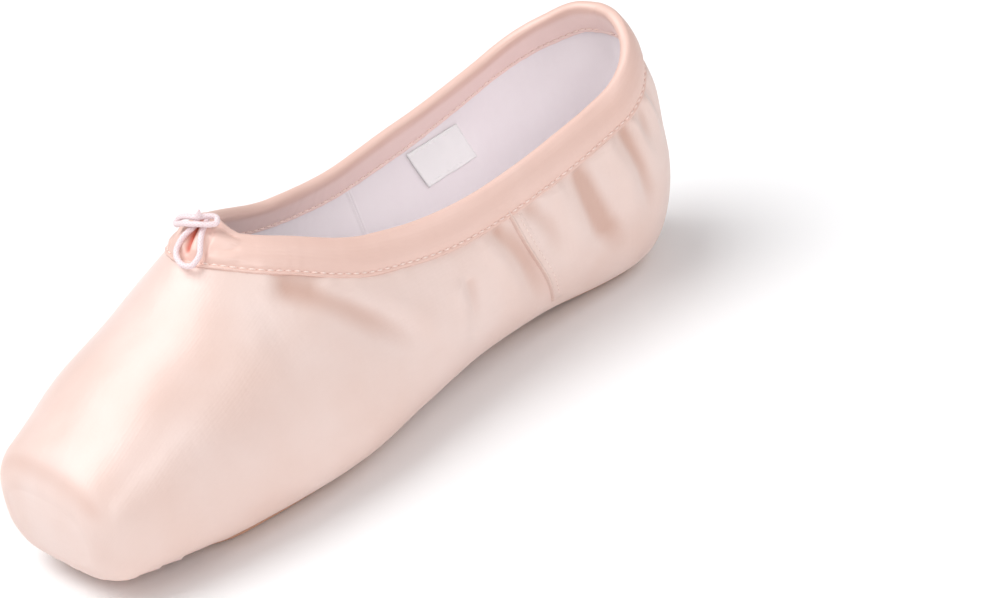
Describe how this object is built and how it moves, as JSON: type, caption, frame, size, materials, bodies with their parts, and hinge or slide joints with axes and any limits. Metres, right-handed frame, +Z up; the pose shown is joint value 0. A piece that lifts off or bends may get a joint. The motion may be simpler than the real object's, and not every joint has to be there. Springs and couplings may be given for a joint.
{
  "type": "pointe shoe",
  "caption": "Satin ballet pointe shoe with a flat-fronted stiffened toe box, folded collar binding with drawstring, side seams and a short waisted leather sole.",
  "frame": {"origin": "on the floor, midway between the toe platform and the back of the heel, on the shoe's middle line", "axes": "+Z up; -Y to the toe, +Y to the heel; +X to the shoe's own left when looking from heel to toe"},
  "size_m": [0.075, 0.226, 0.0833],
  "materials": {
    "satin": "pale pink satin",
    "sole_leather": "smooth tan leather",
    "insole_cloth": "plain off-white cloth over board",
    "binding_satin": "folded satin, a little darker",
    "seam_satin": "folded pale pink satin",
    "label_cloth": "bare white tag",
    "cord": "thin braided elastic"
  },
  "bodies": {
    "root": {"upper": "satin", "outsole": "sole_leather", "insole": "insole_cloth", "binding": "binding_satin", "side_seam_left": "seam_satin", "side_seam_right": "seam_satin", "label": "label_cloth", "cord_bar": "cord", "cord_loop": "cord", "cord_tip": "cord"}
  },
  "joints": []
}
